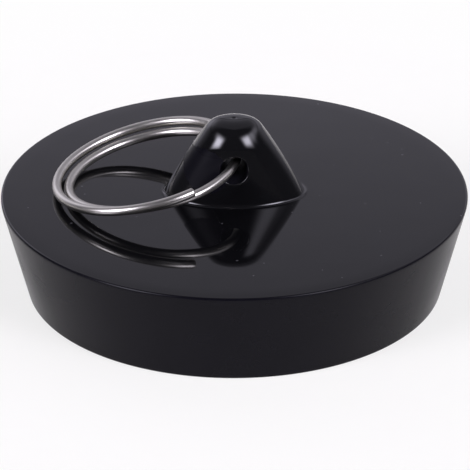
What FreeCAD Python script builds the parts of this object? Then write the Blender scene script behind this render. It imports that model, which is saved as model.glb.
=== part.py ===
# Sink or bath stopper: a tapered, hollow disc with a pull lug, and a split ring through the lug.
import FreeCAD, Part
import math
import os

Vector = FreeCAD.Vector

# Disc, in millimetres: the origin is at the middle of its underside, with +Z up
disc_top_diameter = 48.2
disc_bottom_diameter = 42.8
disc_height = 10.3
top_edge_chamfer = 0.45
bottom_edge_chamfer = 0.2

# Hollow of the underside
rim_width = 3.2
top_plate = 3.4
recess_draft_angle = 4.0
recess_chamfer = 1.2

# Lug: an oval, tapered boss in one moulding with the disc, long along X
lug_base_length = 14.5
lug_base_width = 7.8
lug_top_length = 4.5
lug_top_width = 4.2
lug_height = 8.4
lug_flank_bulge = 0.22
lug_top_round = 2.2
lug_base_round = 0.45

# Mark of the moulding gate in the middle of the lug's top
gate_mark_diameter = 0.8
gate_mark_depth = 0.1

# Hole through the lug along Y, its height taken from the top of the disc
hole_diameter = 2.8
hole_height = 3.9
hole_edge_chamfer = 0.12

# Split ring: an outer turn, a step down through the hole, and a turn nested inside and below
ring_outer_diameter = 20.0
wire_diameter = 0.9
turn_gap = 0.45
wire_end_chamfer = 0.15

# Angles about the ring's axis, counted from the hole towards +Y
outer_end_angle = -62.0
step_half_angle = 38.0
inner_end_angle = 30.0
outer_spans = 3
inner_spans = 4

# Leans of the line from the outer turn to the inner one, from level down: at the step, then nested
step_lean_angle = 54.0
nest_lean_angle = 36.0

# Clearances, and the overrun of cuts
hole_clearance = 0.1
rest_clearance = 0.2
cut_overrun = 1.0

# Points on each arc of the ring for measuring its gap to itself
gap_points = 60

# Sizes that follow from those above
lug_top_level = disc_height + lug_height
hole_level = disc_height + hole_height
hole_radius = hole_diameter / 2
wire_radius = wire_diameter / 2
outer_turn_radius = ring_outer_diameter / 2 - wire_radius
turn_pitch = wire_diameter + turn_gap


def chamfered_outline(corners):
    """Closed wire in the XZ plane from corners (x, z, chamfer along both sides)."""
    points = [Vector(x, 0, z) for x, z, chamfer in corners]
    outline = []
    for index, corner in enumerate(points):
        chamfer = corners[index][2]
        back = (points[index - 1] - corner).normalize()
        ahead = (points[(index + 1) % len(points)] - corner).normalize()
        outline.append(corner + back * chamfer)
        if chamfer > 0:
            outline.append(corner + ahead * chamfer)
    return Part.makePolygon(outline + outline[:1])


def make_disc():
    """Tapered disc, hollow from below, turned about Z."""
    ceiling = disc_height - top_plate
    mouth_radius = disc_bottom_diameter / 2 - rim_width
    ceiling_radius = mouth_radius - ceiling * math.tan(math.radians(recess_draft_angle))
    outline = chamfered_outline([
        (0, disc_height, 0),
        (disc_top_diameter / 2, disc_height, top_edge_chamfer),
        (disc_bottom_diameter / 2, 0, bottom_edge_chamfer),
        (mouth_radius, 0, bottom_edge_chamfer),
        (ceiling_radius, ceiling, recess_chamfer),
        (0, ceiling, 0),
    ])
    return Part.Face(outline).revolve(Vector(0, 0, 0), Vector(0, 0, 1), 360)


def lug_size(height):
    """Length and width of the lug at a height above the disc, with its flanks bulging a little."""
    share = height / lug_height
    bulge = 8 * lug_flank_bulge * share * (1 - share)
    length = lug_base_length + (lug_top_length - lug_base_length) * share + bulge
    width = lug_base_width + (lug_top_width - lug_base_width) * share + bulge
    return length, width


def lug_oval(height):
    """Level oval wire of the lug at a height above the disc."""
    length, width = lug_size(height)
    ellipse = Part.Ellipse(Vector(0, 0, disc_height + height), length / 2, width / 2)
    return Part.Wire(ellipse.toShape())


def make_lug():
    """Oval, tapered boss that starts inside the disc's top plate."""
    sink = top_plate / 2
    heights = [-sink, (lug_height - sink) / 2, lug_height]
    boss = Part.makeLoft([lug_oval(height) for height in heights], True, False)
    top_edges = [edge for edge in boss.Edges if edge.BoundBox.ZMin > disc_height]
    return boss.makeFillet(lug_top_round, top_edges)


def make_gate_mark():
    """Ball that leaves the shallow gate mark in the lug's top."""
    mark_radius = gate_mark_diameter / 2
    ball_radius = (mark_radius ** 2 + gate_mark_depth ** 2) / (2 * gate_mark_depth)
    return Part.makeSphere(ball_radius, Vector(0, 0, lug_top_level - gate_mark_depth + ball_radius))


def make_stopper_body():
    """Disc and lug in one moulding, with the ring's hole and the gate mark."""
    body = make_disc().fuse(make_lug()).removeSplitter()
    widest_foot = (lug_base_length + disc_top_diameter) / 2
    foot_edges = []
    for edge in body.Edges:
        box = edge.BoundBox
        on_top_face = math.isclose(box.ZMin, disc_height) and math.isclose(box.ZMax, disc_height)
        if on_top_face and box.XLength < widest_foot:
            foot_edges.append(edge)
    body = body.makeFillet(lug_base_round, foot_edges)
    hole_length = lug_base_width + 2 * cut_overrun
    hole_start = Vector(0, -hole_length / 2, hole_level)
    hole = Part.makeCylinder(hole_radius, hole_length, hole_start, Vector(0, 1, 0))
    body = body.cut(hole).cut(make_gate_mark())
    mouth_edges = []
    for face in body.Faces:
        if isinstance(face.Surface, Part.Cylinder):
            mouth_edges += [edge for edge in face.Edges if not isinstance(edge.Curve, Part.Line)]
    body = body.makeChamfer(hole_edge_chamfer, mouth_edges)
    return body.Solids[0]


def ring_station(angle, inset, drop):
    """Place and heading of the wire at an angle about the ring's axis, in the ring's own frame."""
    turned = math.radians(angle)
    outward = Vector(math.cos(turned), math.sin(turned), 0)
    heading = Vector(math.sin(turned), -math.cos(turned), 0)
    return outward * (outer_turn_radius - inset) - Vector(0, 0, drop), heading


def turn_offset(lean_angle):
    """Inset and drop of the inner turn from the outer one, one pitch apart at a lean."""
    lean = math.radians(lean_angle)
    return turn_pitch * math.cos(lean), turn_pitch * math.sin(lean)


def ring_stations():
    """Stations from the free end of the outer turn, through the step, to the end of the inner turn."""
    stations = []
    outer_sweep = 360 + outer_end_angle - step_half_angle
    for index in range(outer_spans + 1):
        angle = outer_end_angle - outer_sweep * index / outer_spans
        stations.append(ring_station(angle, 0, 0))
    stations.append(ring_station(-step_half_angle, *turn_offset(step_lean_angle)))
    inner_sweep = 360 - step_half_angle - inner_end_angle
    for index in range(inner_spans):
        angle = -step_half_angle - inner_sweep * (index + 1) / inner_spans
        stations.append(ring_station(angle, *turn_offset(nest_lean_angle)))
    return stations


def tangent_arc(start, corner, end):
    """Arc from start to end whose tangents meet at the corner, equally far from both."""
    chord_middle = (start + end) / 2
    half_chord = start.distanceToPoint(end) / 2
    to_corner = corner - chord_middle
    half_turn = math.atan2(to_corner.Length, half_chord)
    crown = chord_middle + to_corner.normalize() * (half_chord * math.tan(half_turn / 2))
    return Part.Arc(start, crown, end)


def biarc(start, start_heading, end, end_heading):
    """Two arcs, tangent to each other, from one station to the next."""
    span = end - start
    headings = start_heading + end_heading
    spread = 2 * (1 - start_heading.dot(end_heading))
    along = span.dot(headings)
    reach = (math.sqrt(along ** 2 + spread * span.dot(span)) - along) / spread
    first_corner = start + start_heading * reach
    last_corner = end - end_heading * reach
    joint = (first_corner + last_corner) / 2
    return [tangent_arc(start, first_corner, joint), tangent_arc(joint, last_corner, end)]


def ring_arcs():
    """Arcs of the wire's centre line, in the ring's own frame."""
    stations = ring_stations()
    arcs = []
    for before, after in zip(stations, stations[1:]):
        arcs += biarc(*before, *after)
    return arcs


def least_turn_gap(arcs):
    """Least gap between the wire's turns, measured on points along its centre line."""
    points = []
    for arc in arcs:
        points += arc.toShape().discretize(gap_points)
    travelled = [0]
    for before, after in zip(points, points[1:]):
        travelled.append(travelled[-1] + before.distanceToPoint(after))
    half_turn_length = math.pi * outer_turn_radius
    nearest = ring_outer_diameter
    for first, point in enumerate(points):
        for second in range(first + 1, len(points)):
            if travelled[second] - travelled[first] > half_turn_length:
                nearest = min(nearest, point.distanceToPoint(points[second]))
    return nearest - wire_diameter


def ring_placement():
    """Where the ring lies: through the upper part of the hole, its far side down on the disc."""
    step_inset, step_drop = turn_offset(step_lean_angle)
    nest_inset, nest_drop = turn_offset(nest_lean_angle)
    strand_radius = outer_turn_radius - step_inset / 2
    mouth = lug_size(hole_height)[1] / 2
    strand_bow = strand_radius - math.sqrt(strand_radius ** 2 - mouth ** 2)
    step_length = 2 * strand_radius * math.radians(step_half_angle)
    strand_fall = 2 * step_drop * mouth / step_length * (1 - mouth / step_length)
    lift = hole_radius - hole_clearance - wire_radius - math.hypot(strand_bow / 2, strand_fall)
    far_reach = strand_radius + outer_turn_radius - nest_inset - strand_bow / 2
    far_drop = nest_drop - step_drop / 2
    fall = hole_height + lift - wire_radius - rest_clearance
    tilt = math.asin(fall / math.hypot(far_reach, far_drop)) - math.atan2(far_drop, far_reach)
    along = Vector(math.cos(tilt), 0, math.sin(tilt))
    normal = Vector(-math.sin(tilt), 0, math.cos(tilt))
    strand = Vector(0, 0, hole_level + lift) + along * (strand_bow / 2)
    centre = strand - along * strand_radius + normal * (step_drop / 2)
    turned = FreeCAD.Rotation(Vector(0, 1, 0), -math.degrees(tilt))
    return FreeCAD.Placement(centre, turned)


def make_wire_tip(place, outward):
    """Chamfered tip on an end of the wire."""
    tip_length = 2 * wire_end_chamfer
    outline = chamfered_outline([
        (0, 0, 0),
        (wire_radius, 0, 0),
        (wire_radius, tip_length, wire_end_chamfer),
        (0, tip_length, 0),
    ])
    tip = Part.Face(outline).revolve(Vector(0, 0, 0), Vector(0, 0, 1), 360)
    tip.Placement = FreeCAD.Placement(place, FreeCAD.Rotation(Vector(0, 0, 1), outward))
    return tip


def make_split_ring():
    """Two-turn ring of round wire, as one unbroken tube with chamfered tips."""
    arcs = ring_arcs()
    print("least gap between the ring's turns", round(least_turn_gap(arcs), 3), "mm")
    path = Part.Wire([arc.toShape() for arc in arcs])
    stations = ring_stations()
    start, start_heading = stations[0]
    end, end_heading = stations[-1]
    # A spline of the round section gives the tube fewer facets than a plain circle does
    circle = Part.Circle(start, start_heading, wire_radius)
    section = Part.Wire(circle.toBSpline().toShape())
    tube = path.makePipeShell([section], True, False)
    tips = [make_wire_tip(start, -start_heading), make_wire_tip(end, end_heading)]
    ring = tube.fuse(tips).removeSplitter().Solids[0]
    ring.Placement = ring_placement()
    return ring


os.makedirs("parts", exist_ok=True)
make_stopper_body().exportStep("parts/stopper_body.step")
make_split_ring().exportStep("parts/split_ring.step")
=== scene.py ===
import bpy
import bmesh
import math
from mathutils import Matrix, Vector


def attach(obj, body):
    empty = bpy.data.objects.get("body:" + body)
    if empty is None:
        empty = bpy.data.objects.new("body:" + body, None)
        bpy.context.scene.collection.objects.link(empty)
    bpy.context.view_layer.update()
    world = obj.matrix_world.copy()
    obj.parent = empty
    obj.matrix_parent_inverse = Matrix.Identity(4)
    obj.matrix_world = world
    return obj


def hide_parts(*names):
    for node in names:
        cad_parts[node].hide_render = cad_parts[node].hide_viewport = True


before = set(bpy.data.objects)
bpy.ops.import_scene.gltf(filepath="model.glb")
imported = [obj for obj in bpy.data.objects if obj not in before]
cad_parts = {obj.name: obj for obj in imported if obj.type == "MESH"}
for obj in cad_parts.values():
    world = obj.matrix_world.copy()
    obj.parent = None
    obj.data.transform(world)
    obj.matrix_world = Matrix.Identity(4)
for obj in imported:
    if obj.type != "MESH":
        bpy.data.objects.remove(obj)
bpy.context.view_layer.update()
scene = bpy.context.scene
scene.view_settings.view_transform = "Standard"
mm = 0.001
arcSteps = 6  # faces along each small round
slopeStep = 0.01  # for slopes taken from two near points

# shared mesh helpers, all lengths in millimetres until meshPiece scales them


def meshPiece(name, points, faces):
    mesh = bpy.data.meshes.new(name)
    mesh.from_pydata([Vector(point) * mm for point in points], [], faces)
    build = bmesh.new()
    build.from_mesh(mesh)
    bmesh.ops.recalc_face_normals(build, faces=build.faces)
    build.to_mesh(mesh)
    build.free()
    mesh.shade_smooth()
    piece = bpy.data.objects.new(name, mesh)
    scene.collection.objects.link(piece)
    return piece


def keepFlats(piece):
    weighted = piece.modifiers.new("flats", "WEIGHTED_NORMAL")
    weighted.mode = "FACE_AREA"
    weighted.weight = 100


def smooth(share):
    share = min(max(share, 0.0), 1.0)
    return share * share * (3 - 2 * share)


def roundedPath(corners):
    # corners are (radius, level, round, rows on the way to the next corner)
    spots = [Vector((radius, level)) for radius, level, size, rows in corners]
    path = []
    for index, (radius, level, size, rows) in enumerate(corners):
        here = spots[index]
        inner = 0 < index < len(corners) - 1
        if inner and size > 0:
            back = (spots[index - 1] - here).normalized()
            ahead = (spots[index + 1] - here).normalized()
            half = back.angle(ahead) / 2
            centre = here + (back + ahead).normalized() * (size / math.sin(half))
            first = here + back * (size / math.tan(half)) - centre
            sweep = math.pi - 2 * half
            turn = 1 if back.x * ahead.y - back.y * ahead.x < 0 else -1
            for step in range(arcSteps + 1):
                angle = turn * sweep * step / arcSteps
                path.append(centre + Matrix.Rotation(angle, 2) @ first)
        else:
            path.append(here)
        if rows:
            path.append(rows)
    filled = []
    for index, spot in enumerate(path):
        if isinstance(spot, int):
            before, after = path[index - 1], path[index + 1]
            for step in range(1, spot):
                filled.append(before.lerp(after, smooth(step / spot)))
        else:
            filled.append(spot)
    return filled


# stopper body: one grid of columns from the middle of the hollow's ceiling to the gate mark on the lug

bodyPiece = {
    "columns": 240,
    "topRadius": 24.05, "footRadius": 21.4, "height": 10.3, "topRound": 0.25, "footRound": 0.22,
    "rimWidth": 3.2, "topPlate": 3.4, "draft": 4.0, "hollowRound": 1.5,
    "ceilingStart": 0.6, "topStart": 2.0, "topRows": 14, "topSpread": 1.6,
    "lugBase": (7.25, 4.0), "lugTop": (2.25, 2.9), "lugHeight": 8.3, "lugBulge": (0.22, 0.0),
    "lugTopRound": (2.2, 2.85), "lugFootRound": 0.36,
    "footRows": 8, "flankRows": 40, "flankEnd": 6.0, "capRows": 24, "flatRows": 4,
    "holeRadius": 1.4, "holeHeight": 3.9, "holeRound": 0.14, "holeColumns": 20, "holeRows": (8, 38),
    "faceRings": 10, "edgeRings": 7, "boreRings": 3, "boreStep": 0.3, "borePinch": 0.2, "boreLift": 0.5,
    "gateRadius": 0.33, "gateDepth": 0.1, "gateRows": 6, "gateEase": 1.4,
    # finish: how dull the flanks are, the rubbed patches, and where the matt wall and bore begin
    "lugDull": 0.14, "rubPlace": (-2.9, 3.6), "rubHalf": (2.3, 2.2),
    "lugStart": 0.5, "wallDepth": 0.4, "mattRim": 0.2, "boreMargin": 0.02,
}


def lugHalf(axis, level):
    # half the lug's length (axis 0) or width (axis 1) at a level, with its round into the flat top
    base, top, bulge = (bodyPiece[name][axis] for name in ("lugBase", "lugTop", "lugBulge"))
    height, size = bodyPiece["lugHeight"], bodyPiece["lugTopRound"][axis]

    def flank(level):
        share = level / height
        return base + (top - base) * share + 4 * bulge * share * (1 - share)

    high = height - size
    for step in range(6):  # settles where the round meets the flank
        lean = math.atan((flank(high - slopeStep) - flank(high + slopeStep)) / (2 * slopeStep))
        high = height - size + size * math.sin(lean)
    if level <= high:
        return flank(level)
    flat = flank(high) - size * math.cos(lean)
    return flat + math.sqrt(max(0.0, size ** 2 - (level - height + size) ** 2))


def lugOval(t, level):
    return Vector((lugHalf(0, level) * math.cos(t), lugHalf(1, level) * math.sin(t)))


def lugFace(x, level):
    return lugHalf(1, level) * math.sqrt(max(0.0, 1 - (x / lugHalf(0, level)) ** 2))


def lugColumn(t):
    # one column of the lug, from the foot's fillet to the edge of its flat top
    height, footRound = bodyPiece["lugHeight"], bodyPiece["lugFootRound"]
    base = bodyPiece["lugBase"]
    normal = Vector((base[1] * math.cos(t), base[0] * math.sin(t))).normalized()
    low = footRound / 2
    for step in range(6):  # settles where the round meets the flank
        across = normal.dot(lugOval(t, low + slopeStep) - lugOval(t, low - slopeStep))
        lean = math.atan(-across / (2 * slopeStep))
        low = footRound * (1 - math.sin(lean))
    reach = normal.dot(lugOval(t, low) - lugOval(t, 0)) + footRound * math.cos(lean)
    spots = []
    for step in range(bodyPiece["footRows"]):
        # the fillet, slid along the oval as the flank is
        angle = math.pi * 1.5 - (math.pi / 2 - lean) * step / bodyPiece["footRows"]
        level = footRound + footRound * math.sin(angle)
        moved = lugOval(t, level) - lugOval(t, 0)
        out = reach + footRound * math.cos(angle) - normal.dot(moved)
        spots.append((lugOval(t, level) + normal * out, level))
    rows, end = bodyPiece["flankRows"], bodyPiece["flankEnd"]
    levels = [low + (end - low) * row / rows for row in range(rows + 1)]
    start = math.asin((end - height) / bodyPiece["lugTopRound"][1] + 1)
    for row in range(1, bodyPiece["capRows"] + 1):
        angle = start + (math.pi / 2 - start) * row / bodyPiece["capRows"]
        levels.append(height - bodyPiece["lugTopRound"][1] * (1 - math.sin(angle)))
    spots += [(lugOval(t, level), level) for level in levels]
    return [Vector((spot.x, spot.y, bodyPiece["height"] + level)) for spot, level in spots]


def discPath():
    ceiling = bodyPiece["height"] - bodyPiece["topPlate"]
    mouth = bodyPiece["footRadius"] - bodyPiece["rimWidth"]
    inside = mouth - ceiling * math.tan(math.radians(bodyPiece["draft"]))
    return roundedPath([
        (bodyPiece["ceilingStart"], ceiling, 0, 10),
        (inside, ceiling, bodyPiece["hollowRound"], 6),
        (mouth, 0, bodyPiece["footRound"], 4),
        (bodyPiece["footRadius"], 0, bodyPiece["footRound"], 10),
        (bodyPiece["topRadius"], bodyPiece["height"], bodyPiece["topRound"], 0),
        (bodyPiece["topRadius"] - bodyPiece["topStart"], bodyPiece["height"], 0, 0),
    ])


def fromBore(point):
    level = point.z - bodyPiece["height"]
    return math.hypot(point.x, level - bodyPiece["holeHeight"]) - bodyPiece["holeRadius"]


def dullShare(point):
    # the bore, left rough by the core pins, and the lug's flanks, dulled by fingers
    level = point.z - bodyPiece["height"]
    if fromBore(point) < bodyPiece["boreMargin"]:
        return 1.0
    return bodyPiece["lugDull"] * smooth(level) * smooth(bodyPiece["flankEnd"] - level)


def isMatt(point):
    # the wall, the rim, the underside, the bore, and the patches beside it that the ring has rubbed
    level = point.z - bodyPiece["height"]
    if level < bodyPiece["lugStart"]:
        atRim = math.hypot(point.x, point.y) > bodyPiece["topRadius"] - bodyPiece["mattRim"]
        return atRim or level < -bodyPiece["wallDepth"]
    (middle, height), (half, tall) = bodyPiece["rubPlace"], bodyPiece["rubHalf"]
    rubbed = math.hypot((point.x - middle) / half, (level - height) / tall) < 1
    return rubbed or fromBore(point) < bodyPiece["boreMargin"]


def addHole(points, faces, lowRow, highRow):
    # the hole's mouths: rings from the border of the block left out to the bore
    count, half, level = bodyPiece["columns"], bodyPiece["holeColumns"], bodyPiece["height"]
    border = [(lowRow, c) for c in range(-half, half)]
    border += [(j, half) for j in range(lowRow, highRow)]
    border += [(highRow, c) for c in range(half, -half, -1)]
    border += [(j, -half) for j in range(highRow, lowRow, -1)]
    bore, edge, height = bodyPiece["holeRadius"], bodyPiece["holeRound"], bodyPiece["holeHeight"]
    lastRings = []
    for side, middle in ((-1, count * 3 // 4), (1, count // 4)):
        loop = [j * count + middle - side * c for j, c in border]
        outer = [points[index] for index in loop]
        angles = [math.atan2(spot.z - level - height, spot.x) for spot in outer]
        rings = [loop]

        def addRing(places):
            rings.append(list(range(len(points), len(points) + len(places))))
            points.extend(places)

        for step in range(1, bodyPiece["faceRings"] + 1):
            reach = bore + edge
            share = step / bodyPiece["faceRings"]
            ring = []
            for spot, angle in zip(outer, angles):
                x = spot.x + (reach * math.cos(angle) - spot.x) * share
                z = spot.z + (level + height + reach * math.sin(angle) - spot.z) * share
                ring.append(Vector((x, side * lugFace(x, z - level), z)))
            addRing(ring)
        for step in range(1, bodyPiece["edgeRings"] + 1):
            turn = math.pi / 2 * step / bodyPiece["edgeRings"]
            reach = bore + edge * (1 - math.sin(turn))
            ring = []
            for angle in angles:
                x, z = reach * math.cos(angle), height + reach * math.sin(angle)
                ring.append(Vector((x, side * (lugFace(x, z) - edge * (1 - math.cos(turn))), level + z)))
            addRing(ring)
        mouthRing = [points[index] for index in rings[-1]]
        for step in range(1, bodyPiece["boreRings"] + 1):
            # the bore narrows to its middle, as two core pins leave it
            share = 1 - bodyPiece["borePinch"] * step / bodyPiece["boreRings"]
            core = Vector((0, 0, level + height + bodyPiece["boreLift"]))
            ring = []
            for spot in mouthRing:
                narrow = core + (spot - core) * share
                ring.append(Vector((narrow.x, spot.y * (1 - step * bodyPiece["boreStep"]), narrow.z)))
            addRing(ring)
        size = len(loop)
        for near, far in zip(rings, rings[1:]):
            for i in range(size):
                after = (i + 1) % size
                faces.append((near[i], near[after], far[after], far[i]))
        lastRings.append(rings[-1])
    near, far = lastRings
    for i in range(len(near)):
        after = (i + 1) % len(near)
        faces.append((near[i], near[after], far[after], far[i]))


def makeBody():
    count = bodyPiece["columns"]
    turns = [2 * math.pi * i / count for i in range(count)]
    level = bodyPiece["height"]
    rows = []
    for spot in discPath():
        rows.append([Vector((spot.x * math.cos(t), spot.x * math.sin(t), spot.y)) for t in turns])
    lug = [lugColumn(t) for t in turns]
    rim = rows[-1]
    for step in range(1, bodyPiece["topRows"]):
        share = 1 - (1 - step / bodyPiece["topRows"]) ** bodyPiece["topSpread"]
        rows.append([rim[i].lerp(lug[i][0], share) for i in range(count)])
    lugStart = len(rows)
    rows += [[lug[i][j] for i in range(count)] for j in range(len(lug[0]))]
    flat = rows[-1]
    top = level + bodyPiece["lugHeight"]
    for step in range(1, bodyPiece["flatRows"] + 1):
        ring = []
        for spot in flat:
            edge = Vector((spot.x, spot.y, 0)).normalized() * bodyPiece["gateRadius"]
            ring.append(spot.lerp(Vector((edge.x, edge.y, top)), step / bodyPiece["flatRows"]))
        rows.append(ring)
    lip = rows[-1]
    for step in range(1, bodyPiece["gateRows"]):
        share = 1 - step / bodyPiece["gateRows"]
        sink = bodyPiece["gateDepth"] * smooth(bodyPiece["gateEase"] * (1 - share))
        rows.append([Vector((spot.x * share, spot.y * share, top - sink)) for spot in lip])

    points = [spot for row in rows for spot in row]
    faces = []
    lowRow, highRow = (lugStart + bodyPiece["footRows"] + row for row in bodyPiece["holeRows"])
    half = bodyPiece["holeColumns"]
    middles = (count // 4, count * 3 // 4)
    inHole = [any(-half <= i - middle < half for middle in middles) for i in range(count)]
    for j in range(len(rows) - 1):
        for i in range(count):
            if lowRow <= j < highRow and inHole[i]:
                continue
            after = (i + 1) % count
            here, above = j * count, (j + 1) * count
            faces.append((here + i, here + after, above + after, above + i))
    for row in (0, len(rows) - 1):
        points.append(sum(rows[row], Vector()) / count)
        for i in range(count):
            faces.append((row * count + i, row * count + (i + 1) % count, len(points) - 1))

    addHole(points, faces, lowRow, highRow)
    piece = meshPiece("stopperMoulding", points, faces)
    keepFlats(piece)
    dull = piece.data.attributes.new("dullShare", "FLOAT", "POINT")
    dull.data.foreach_set("value", [dullShare(point) for point in points])
    return piece


# split ring: an outer turn, a step down through the hole, and a turn nested inside and below

ringPiece = {
    "outerRadius": 10.2, "wireRadius": 0.48, "sides": 32, "steps": 460, "startAngle": -61.5, "endAngle": -690.0,
    "stepFrom": -285.0, "holeAngle": -360.0, "holeReach": 20.0, "farAngle": -540.0, "ease": 12, "easeStep": 3,
    "holeClearance": 0.18, "restClearance": 0.02, "tip": 0.24, "tipRows": 7, "tipStart": 0.06,
    # angle, and how far the inner turn lies inside and below the outer one there
    "nest": ((-380, 0.64, 0.80), (-420, 0.70, 0.80), (-445, 0.95, 0.53), (-470, 1.04, 0.51), (-540, 1.14, 0.62),
             (-600, 1.02, 0.78), (-630, 0.93, 0.84), (-690, 0.85, 0.85)),
}


def ringOffset(angle):
    # inset and drop from the outer turn, along smooth steps from one angle to the next
    stops = ((ringPiece["stepFrom"], 0.0, 0.0),) + ringPiece["nest"]
    if angle >= stops[0][0]:
        return Vector((0, 0))
    for (start, *before), (end, *after) in zip(stops, stops[1:]):
        if angle >= end:
            share = (start - angle) / (start - end)
            return Vector(before).lerp(Vector(after), smooth(share) if start == stops[0][0] else share)
    return Vector(stops[-1][1:])


def ringSpot(angle):
    # eased over a few degrees, so that the wire has no kinks
    shifts = range(-ringPiece["ease"], ringPiece["ease"] + 1, ringPiece["easeStep"])
    inset, drop = sum((ringOffset(angle + shift) for shift in shifts), Vector((0, 0))) / len(shifts)
    radius = ringPiece["outerRadius"] - ringPiece["wireRadius"] - inset
    turned = math.radians(angle)
    return Vector((radius * math.cos(turned), radius * math.sin(turned), -drop))


def ringPlace():
    # through the upper part of the hole, with the far side down on the disc
    outer = ringPiece["outerRadius"] - ringPiece["wireRadius"]
    wire = ringPiece["wireRadius"]
    hole, half = ringPiece["holeAngle"], ringPiece["holeReach"]
    middleInset, middleDrop = ringOffset(hole)
    farInset, farDrop = ringOffset(ringPiece["farAngle"])
    strand = outer - middleInset
    mouth = lugFace(0, bodyPiece["holeHeight"])
    bow = strand - math.sqrt(strand ** 2 - mouth ** 2)
    slope = (ringOffset(hole - half).y - ringOffset(hole + half).y) / (strand * math.radians(2 * half))
    slide = slope * mouth
    lift = bodyPiece["holeRadius"] - ringPiece["holeClearance"] - wire - math.hypot(bow / 2, slide)
    reach = strand + outer - farInset - bow / 2
    fall = bodyPiece["holeHeight"] + lift - wire - ringPiece["restClearance"]
    drop = farDrop - middleDrop
    tilt = math.asin(fall / math.hypot(reach, drop)) - math.atan2(drop, reach)
    along = Vector((math.cos(tilt), 0, math.sin(tilt)))
    normal = Vector((-math.sin(tilt), 0, math.cos(tilt)))
    inHole = Vector((0, 0, bodyPiece["height"] + bodyPiece["holeHeight"] + lift))
    centre = inHole + along * (bow / 2 - strand) + normal * middleDrop
    return Matrix.Translation(centre) @ Matrix.Rotation(-tilt, 4, "Y")


def makeRing():
    steps, sides, wire = ringPiece["steps"], ringPiece["sides"], ringPiece["wireRadius"]
    sweep = ringPiece["endAngle"] - ringPiece["startAngle"]
    line = [ringSpot(ringPiece["startAngle"] + sweep * i / steps) for i in range(steps + 1)]
    headings = [(line[min(i + 1, steps)] - line[max(i - 1, 0)]).normalized() for i in range(steps + 1)]
    # sections: a domed tip, the wire, and a domed tip
    sections = []
    tipRows, tipStart = ringPiece["tipRows"], ringPiece["tipStart"]
    for step in range(tipRows):
        angle = math.pi / 2 * (tipStart + (1 - tipStart) * step / (tipRows - 1))
        sections.append((0, -ringPiece["tip"] * math.cos(angle), wire * math.sin(angle)))
    sections += [(i, 0.0, wire) for i in range(1, steps)]
    sections += [(steps, -shift, radius) for i, shift, radius in reversed(sections[:tipRows])]
    place = ringPlace()
    points, faces, travelled, rounds = [], [], [], []
    length = 0.0
    last = None
    for index, shift, radius in sections:
        heading = headings[index]
        centre = line[index] + heading * shift
        length += (centre - last).length if last else 0.0
        last = centre
        across = Vector((line[index].x, line[index].y, 0))
        across = (across - heading * across.dot(heading)).normalized()
        over = heading.cross(across)
        for side in range(sides):
            turn = 2 * math.pi * side / sides
            points.append(place @ (centre + (across * math.cos(turn) + over * math.sin(turn)) * radius))
            travelled.append(length)
            rounds.append(side / sides)
    for row in range(len(sections) - 1):
        for side in range(sides):
            after = (side + 1) % sides
            here, ahead = row * sides, (row + 1) * sides
            faces.append((here + side, here + after, ahead + after, ahead + side))
    for row, end, shift in ((0, 0, -ringPiece["tip"]), (len(sections) - 1, steps, ringPiece["tip"])):
        points.append(place @ (line[end] + headings[end] * shift))
        travelled.append(travelled[row * sides])
        rounds.append(0.5)
        for side in range(sides):
            faces.append((row * sides + side, row * sides + (side + 1) % sides, len(points) - 1))
    piece = meshPiece("splitRingWire", points, faces)
    # how far along the wire, and how far round it, for the drawn lines
    along = piece.data.attributes.new("alongWire", "FLOAT", "POINT")
    along.data.foreach_set("value", travelled)
    around = piece.data.attributes.new("roundWire", "FLOAT", "POINT")
    around.data.foreach_set("value", rounds)
    return piece


# shader node helpers


def addNode(tree, kind, settings=None, **inputs):
    node = tree.nodes.new("ShaderNode" + kind)
    for name, value in (settings or {}).items():
        setattr(node, name, value)
    for name, value in inputs.items():
        socket = node.inputs[int(name[1:])] if name[1:].isdigit() else node.inputs[name.replace("_", " ")]
        if isinstance(value, bpy.types.NodeSocket):
            tree.links.new(value, socket)
        else:
            socket.default_value = value
    return node


def mathNode(tree, operation, first, second=0.0, third=0.0):
    return addNode(tree, "Math", {"operation": operation}, s0=first, s1=second, s2=third).outputs[0]


def rangeNode(tree, value, low, high, newLow=0.0, newHigh=1.0):
    return addNode(tree, "MapRange", {"interpolation_type": "SMOOTHSTEP"}, Value=value,
                   From_Min=low, From_Max=high, To_Min=newLow, To_Max=newHigh).outputs[0]


def colourMix(tree, share, first, second):
    return addNode(tree, "Mix", {"data_type": "RGBA"}, s0=share, s6=first, s7=second).outputs[2]


def newGroup(name, inputs, outputs):
    tree = bpy.data.node_groups.new(name, "ShaderNodeTree")
    for label, kind, value in inputs:
        socket = tree.interface.new_socket(name=label, in_out="INPUT", socket_type="NodeSocket" + kind)
        if value is not None:
            socket.default_value = value
    for label in outputs:
        tree.interface.new_socket(name=label, in_out="OUTPUT", socket_type="NodeSocketFloat")
    return tree, tree.nodes.new("NodeGroupInput").outputs, tree.nodes.new("NodeGroupOutput").inputs


def useGroup(tree, group, **inputs):
    return addNode(tree, "Group", {"node_tree": group}, **inputs).outputs


# slow swell with a finer peel on it, as a height
wavesGroup, given, taken = newGroup(
    "surfaceWaves", [("Place", "Vector", None), ("Swell Scale", "Float", 1.0), ("Peel Scale", "Float", 1.0),
                     ("Peel Share", "Float", 0.1)], ["Height"])
swell = addNode(wavesGroup, "TexNoise", Vector=given["Place"], Scale=given["Swell Scale"], Detail=1.0)
peel = addNode(wavesGroup, "TexNoise", Vector=given["Place"], Scale=given["Peel Scale"], Detail=2.0)
wavesGroup.links.new(mathNode(wavesGroup, "MULTIPLY_ADD", peel.outputs[0], given["Peel Share"], swell.outputs[0]),
                     taken["Height"])

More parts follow.
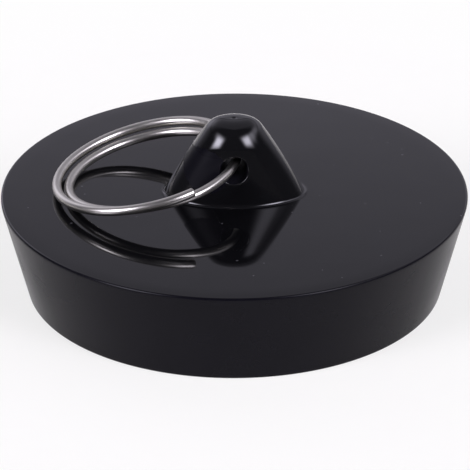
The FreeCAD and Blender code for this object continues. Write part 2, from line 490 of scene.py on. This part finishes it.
# sparse round specks, each a little different in size
specksGroup, given, taken = newGroup(
    "dustSpecks", [("Place", "Vector", None), ("Scale", "Float", 1.0), ("Size", "Float", 0.1),
                   ("Share", "Float", 0.2)], ["Mask"])
cells = addNode(specksGroup, "TexVoronoi", Vector=given["Place"], Scale=given["Scale"])
lot = addNode(specksGroup, "SeparateColor", Color=cells.outputs["Color"])
chosen = mathNode(specksGroup, "LESS_THAN", lot.outputs[0], given["Share"])
reach = mathNode(specksGroup, "MULTIPLY", given["Size"], mathNode(specksGroup, "ADD", lot.outputs[1], 0.4))
inside = mathNode(specksGroup, "LESS_THAN", cells.outputs["Distance"], reach)
strength = mathNode(specksGroup, "MULTIPLY", mathNode(specksGroup, "MULTIPLY", chosen, inside), lot.outputs[2])
specksGroup.links.new(strength, taken["Mask"])

# soft smudges left by handling
smudgeGroup, given, taken = newGroup(
    "handlingMarks", [("Place", "Vector", None), ("Scale", "Float", 1.0)], ["Smudge"])
broad = addNode(smudgeGroup, "TexNoise", Vector=given["Place"], Scale=given["Scale"], Detail=4.0, Roughness=0.6,
                Distortion=0.6)
smudgeGroup.links.new(rangeNode(smudgeGroup, broad.outputs[0], 0.42, 0.72), taken["Smudge"])


def newMaterial(name):
    material = bpy.data.materials.new(name)
    material.use_nodes = True
    return material, material.node_tree, material.node_tree.nodes["Principled BSDF"]


# glossy black moulding

mouldingLook = {
    "deep": (0.0022, 0.0022, 0.0025, 1), "pale": (0.0036, 0.0036, 0.0042, 1), "dust": (0.22, 0.22, 0.23, 1),
    "ior": 1.50, "roughness": (0.04, 0.07), "dullRoughness": 0.4, "dustRoughness": 0.4, "waveDistance": 0.000006,
    "smudgeScale": 90.0, "flowScale": 240.0, "swellScale": 130.0, "peelScale": 1500.0, "peelShare": 0.03,
    "dustScale": 700.0, "dustSize": 0.07, "dustShare": 0.45, "dustFacing": (0.8, 0.97),
}
# the wall, the rim, the bore and the underside have the mould's fine matt finish; their base colour is lifted and
# turned bluish, a painted reflection of the blue-tinted light that the wall reflects
mattLookPaintedReflection = dict(
    mouldingLook, ior=1.20, roughness=(0.22, 0.30),
    deep=(0.0028, 0.0026, 0.0044, 1), pale=(0.0042, 0.0040, 0.0062, 1))


def makeMoulding(name, look):
    material, tree, shader = newMaterial(name)
    place = addNode(tree, "TexCoord").outputs["Object"]
    smudge = useGroup(tree, smudgeGroup, Place=place, Scale=look["smudgeScale"])["Smudge"]
    specks = useGroup(tree, specksGroup, Place=place, Scale=look["dustScale"], Size=look["dustSize"],
                      Share=look["dustShare"])["Mask"]
    # dust lies only where the surface faces up
    up = addNode(tree, "SeparateXYZ", Vector=addNode(tree, "NewGeometry").outputs["Normal"]).outputs[2]
    specks = mathNode(tree, "MULTIPLY", specks, rangeNode(tree, up, *look["dustFacing"]))
    waves = useGroup(tree, wavesGroup, Place=place, Swell_Scale=look["swellScale"], Peel_Scale=look["peelScale"],
                     Peel_Share=look["peelShare"])["Height"]
    flow = addNode(tree, "TexNoise", Vector=place, Scale=look["flowScale"], Detail=3.0).outputs[0]
    body = colourMix(tree, flow, look["deep"], look["pale"])
    tree.links.new(colourMix(tree, specks, body, look["dust"]), shader.inputs["Base Color"])
    low, high = look["roughness"]
    rough = rangeNode(tree, smudge, 0.0, 1.0, low, high)
    rough = mathNode(tree, "ADD", rough, mathNode(tree, "MULTIPLY", specks, look["dustRoughness"]))
    dull = addNode(tree, "Attribute", {"attribute_name": "dullShare"}).outputs["Fac"]
    rough = mathNode(tree, "MULTIPLY_ADD", dull, look["dullRoughness"], rough)
    tree.links.new(rough, shader.inputs["Roughness"])
    shader.inputs["IOR"].default_value = look["ior"]
    bump = addNode(tree, "Bump", Strength=1.0, Distance=look["waveDistance"], Height=waves)
    tree.links.new(bump.outputs[0], shader.inputs["Normal"])
    return material


# bright drawn steel wire

steelLook = {
    "bright": (0.515, 0.50, 0.458, 1), "dull": (0.415, 0.402, 0.37, 1), "roughness": (0.28, 0.38),
    "lineStretch": 0.12, "lineCount": 34.0, "lineEdges": (0.35, 0.65), "lineDistance": 0.0000015,
    "lineWear": 0.6, "wearRange": (0.2, 1.0), "waveShare": 0.5,
    "smudgeScale": 420.0, "swellScale": 500.0, "peelScale": 4000.0, "peelShare": 0.2,
}


def makeSteel():
    material, tree, shader = newMaterial("ringSteel")
    place = addNode(tree, "TexCoord").outputs["Object"]
    along = addNode(tree, "Attribute", {"attribute_name": "alongWire"}).outputs["Fac"]
    around = addNode(tree, "Attribute", {"attribute_name": "roundWire"}).outputs["Fac"]
    drawn = addNode(tree, "CombineXYZ", X=mathNode(tree, "MULTIPLY", along, steelLook["lineStretch"]),
                    Y=mathNode(tree, "MULTIPLY", around, steelLook["lineCount"])).outputs[0]
    lines = addNode(tree, "TexNoise", Vector=drawn, Scale=1.0, Detail=3.0).outputs[0]
    smudge = useGroup(tree, smudgeGroup, Place=place, Scale=steelLook["smudgeScale"])["Smudge"]
    waves = useGroup(tree, wavesGroup, Place=place, Swell_Scale=steelLook["swellScale"],
                     Peel_Scale=steelLook["peelScale"], Peel_Share=steelLook["peelShare"])["Height"]
    dull = mathNode(tree, "MULTIPLY", smudge, rangeNode(tree, lines, *steelLook["lineEdges"]))
    tree.links.new(colourMix(tree, dull, steelLook["bright"], steelLook["dull"]), shader.inputs["Base Color"])
    low, high = steelLook["roughness"]
    wear = mathNode(tree, "ADD", mathNode(tree, "MULTIPLY", lines, steelLook["lineWear"]), dull)
    tree.links.new(rangeNode(tree, wear, *steelLook["wearRange"], low, high), shader.inputs["Roughness"])
    shader.inputs["Metallic"].default_value = 1.0
    height = mathNode(tree, "ADD", lines, mathNode(tree, "MULTIPLY", waves, steelLook["waveShare"]))
    bump = addNode(tree, "Bump", Strength=1.0, Distance=steelLook["lineDistance"], Height=height)
    tree.links.new(bump.outputs[0], shader.inputs["Normal"])
    return material


# the two pieces, on their bodies

body = makeBody()
body.data.materials.append(makeMoulding("blackMoulding", mouldingLook))
# the matt finish, whose bluish lifted colour is a painted reflection tint
body.data.materials.append(makeMoulding("mattMouldingPaintedReflection", mattLookPaintedReflection))
for face in body.data.polygons:
    face.material_index = 1 if isMatt(face.center / mm) else 0
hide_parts("stopper_body")
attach(body, "stopper")
print("body", len(body.data.vertices), "points")

ring = makeRing()
ring.data.materials.append(makeSteel())
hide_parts("split_ring")
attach(ring, "ring")
print("ring", len(ring.data.vertices), "points")

# studio: white floor, a sky that is light behind and dark in front, and softboxes in it

studio = {
    "floor": (0.92, 0.90, 0.82, 1), "paintedShadeFloor": (0.09, 0.09, 0.085, 1), "floorRadius": 1800.0, "floorSides": 64,
    "floorDrop": 0.02, "floorRoughness": 0.9, "grainScale": 400.0, "grainShade": 0.97,
    # where the floor is painted dark for mirrors, a painted shade standing in for the unlit room in front, in
    # metres from the middle and from front to back
    "farFrom": (0.058, 0.085), "farAhead": (-0.03, 0.03), "farLeast": 0.1,
    "glow": 0.7, "mirrorGlow": 0.32, "farGlow": 0.93, "farFade": 0.5,
    "tint": (0.93, 0.90, 1.05), "front": 0.08, "behind": (0.05, 0.75), "boxPower": 3.0,
    # height in the sky and level there, behind the object
    "back": ((0.0, 0.42), (0.17, 0.50), (0.398, 0.72), (0.438, 0.46), (0.480, 0.25), (0.56, 0.60), (0.70, 0.46),
             (0.87, 0.40), (1.0, 0.36)),
    "softboxes": (
        # turn from the camera's side, lift, half width and half height in degrees, level, from which height on
        (-53.0, 26.0, 11.5, 16.0, 15.0, (0.08, 0.17)),
        (45.0, 33.0, 11.0, 16.0, 12.3, (0.08, 0.17)),
        (65.0, 37.0, 13.0, 14.0, 2.0, (0.08, 0.17)),
        (-64.0, 41.0, 12.0, 10.0, 1.6, (0.08, 0.17)),
        (90.0, 39.0, 20.0, 11.0, 1.6, (0.08, 0.17)),
        (-144.0, 22.0, 16.0, 22.0, 0.85, (-0.2, -0.1)),
        (132.0, 26.0, 21.0, 18.0, 0.25, (-0.2, -0.1)),
    ),
}


def makeFloor():
    sides, radius = studio["floorSides"], studio["floorRadius"]
    turns = [2 * math.pi * i / sides for i in range(sides)]
    edge = [Vector((radius * math.cos(turn), radius * math.sin(turn), -studio["floorDrop"])) for turn in turns]
    floor = meshPiece("studioFloor", edge, [list(range(sides))])
    material, tree, shader = newMaterial("floorPaper")
    place = addNode(tree, "TexCoord").outputs["Object"]
    grain = addNode(tree, "TexNoise", Vector=place, Scale=studio["grainScale"]).outputs[0]
    pale = tuple(value * studio["grainShade"] for value in studio["floor"][:3]) + (1,)
    # white round the object, painted darker far in front of it as shade for reflections
    away = addNode(tree, "VectorMath", {"operation": "LENGTH"}, s0=place).outputs["Value"]
    far = rangeNode(tree, away, *studio["farFrom"])
    ahead = addNode(tree, "SeparateXYZ", Vector=place).outputs[1]
    far = mathNode(tree, "MULTIPLY", far, rangeNode(tree, ahead, *studio["farAhead"], 1.0, studio["farLeast"]))
    near = colourMix(tree, grain, studio["floor"], pale)
    tree.links.new(colourMix(tree, far, near, studio["paintedShadeFloor"]), shader.inputs["Base Color"])
    shader.inputs["Roughness"].default_value = studio["floorRoughness"]
    shader.inputs["Specular IOR Level"].default_value = 0.0
    rays = addNode(tree, "LightPath").outputs
    mirrored = mathNode(tree, "MAXIMUM", rays["Is Glossy Ray"], rays["Is Transmission Ray"])
    seen = mathNode(tree, "MULTIPLY", rays["Is Camera Ray"], studio["glow"])
    seen = mathNode(tree, "MULTIPLY_ADD", mirrored, studio["mirrorGlow"], seen)
    glow = addNode(tree, "Emission", Strength=1.0)
    share = mathNode(tree, "MULTIPLY", seen, mathNode(tree, "SUBTRACT", 1.0, far))
    # the camera sees the far floor as white as the near one
    farSeen = mathNode(tree, "MULTIPLY", mathNode(tree, "POWER", far, studio["farFade"]), rays["Is Camera Ray"])
    share = mathNode(tree, "MULTIPLY_ADD", farSeen, studio["farGlow"], share)
    mix = addNode(tree, "MixShader", s0=share, s1=shader.outputs[0], s2=glow.outputs[0])
    tree.links.new(mix.outputs[0], tree.nodes["Material Output"].inputs["Surface"])
    floor.data.materials.append(material)


def softbox(tree, way, turn, lift, wide, tall, level, foot):
    # a squarish patch of light in the sky that fades at its edge
    flat, up = math.radians(turn), math.radians(lift)
    middle = Vector((math.sin(flat) * math.cos(up), -math.cos(flat) * math.cos(up), math.sin(up)))
    across = Vector((math.cos(flat), math.sin(flat), 0))
    reach = 0.0
    for axis, half in ((across, wide), (middle.cross(across), tall)):
        scaled = axis / math.sin(math.radians(half))
        off = addNode(tree, "VectorMath", {"operation": "DOT_PRODUCT"}, s0=way, s1=scaled)
        off = mathNode(tree, "ABSOLUTE", off.outputs["Value"])
        reach = mathNode(tree, "ADD", mathNode(tree, "POWER", off, studio["boxPower"]), reach)
    fade = mathNode(tree, "EXPONENT", mathNode(tree, "MULTIPLY", reach, -1.0))
    facing = addNode(tree, "VectorMath", {"operation": "DOT_PRODUCT"}, s0=way, s1=middle).outputs["Value"]
    fade = mathNode(tree, "MULTIPLY", fade, mathNode(tree, "GREATER_THAN", facing, 0.0))
    above = addNode(tree, "SeparateXYZ", Vector=way).outputs[2]
    return mathNode(tree, "MULTIPLY", fade, rangeNode(tree, above, *foot, 0.0, level))


def makeSky():
    world = bpy.data.worlds.new("studioSky")
    world.use_nodes = True
    scene.world = world
    tree = world.node_tree
    way = addNode(tree, "TexCoord").outputs["Generated"]
    sides = addNode(tree, "SeparateXYZ", Vector=way).outputs
    ramp = addNode(tree, "ValToRGB", Fac=sides[2])
    ramp.color_ramp.interpolation = "LINEAR"
    stops = ramp.color_ramp.elements
    while len(stops) < len(studio["back"]):
        stops.new(0.5)
    for stop, (spot, level) in zip(stops, studio["back"]):
        stop.position = spot
        stop.color = (level, level, level, 1)
    flatWay = addNode(tree, "VectorMath", {"operation": "MULTIPLY"}, s0=way, s1=(1, 1, 0)).outputs[0]
    flatWay = addNode(tree, "VectorMath", {"operation": "NORMALIZE"}, s0=flatWay).outputs[0]
    behind = rangeNode(tree, addNode(tree, "SeparateXYZ", Vector=flatWay).outputs[1], *studio["behind"])
    dark = (studio["front"], studio["front"], studio["front"], 1)
    light = colourMix(tree, behind, dark, ramp.outputs[0])
    for values in studio["softboxes"]:
        light = mathNode(tree, "ADD", light, softbox(tree, way, *values))
    tree.links.new(light, tree.nodes["Background"].inputs["Strength"])
    tree.nodes["Background"].inputs["Color"].default_value = studio["tint"] + (1,)


makeFloor()
makeSky()
print("studio", len(studio["softboxes"]), "softboxes")

# camera: a long lens that looks down on the disc's top

view = {"lift": 26.16, "far": 450.0, "lens": 335.4, "pitch": 0.577, "yaw": -0.007, "roll": -0.21,
        "sensor": 36, "clip": (0.01, 10)}


def makeCamera():
    lens = bpy.data.cameras.new("photoCamera")
    lens.lens = view["lens"]
    lens.sensor_width = view["sensor"]
    lens.clip_start, lens.clip_end = view["clip"]
    camera = bpy.data.objects.new("photoCamera", lens)
    scene.collection.objects.link(camera)
    lift = math.radians(view["lift"])
    place = Vector((0, -view["far"] * math.cos(lift), bodyPiece["height"] + view["far"] * math.sin(lift))) * mm
    turns = [Matrix.Rotation(math.radians(view["yaw"]), 4, "Z"),
             Matrix.Rotation(math.radians(90 - view["lift"] - view["pitch"]), 4, "X"),
             Matrix.Rotation(math.radians(view["roll"]), 4, "Z")]
    camera.matrix_world = Matrix.Translation(place) @ turns[0] @ turns[1] @ turns[2]
    scene.camera = camera


makeCamera()
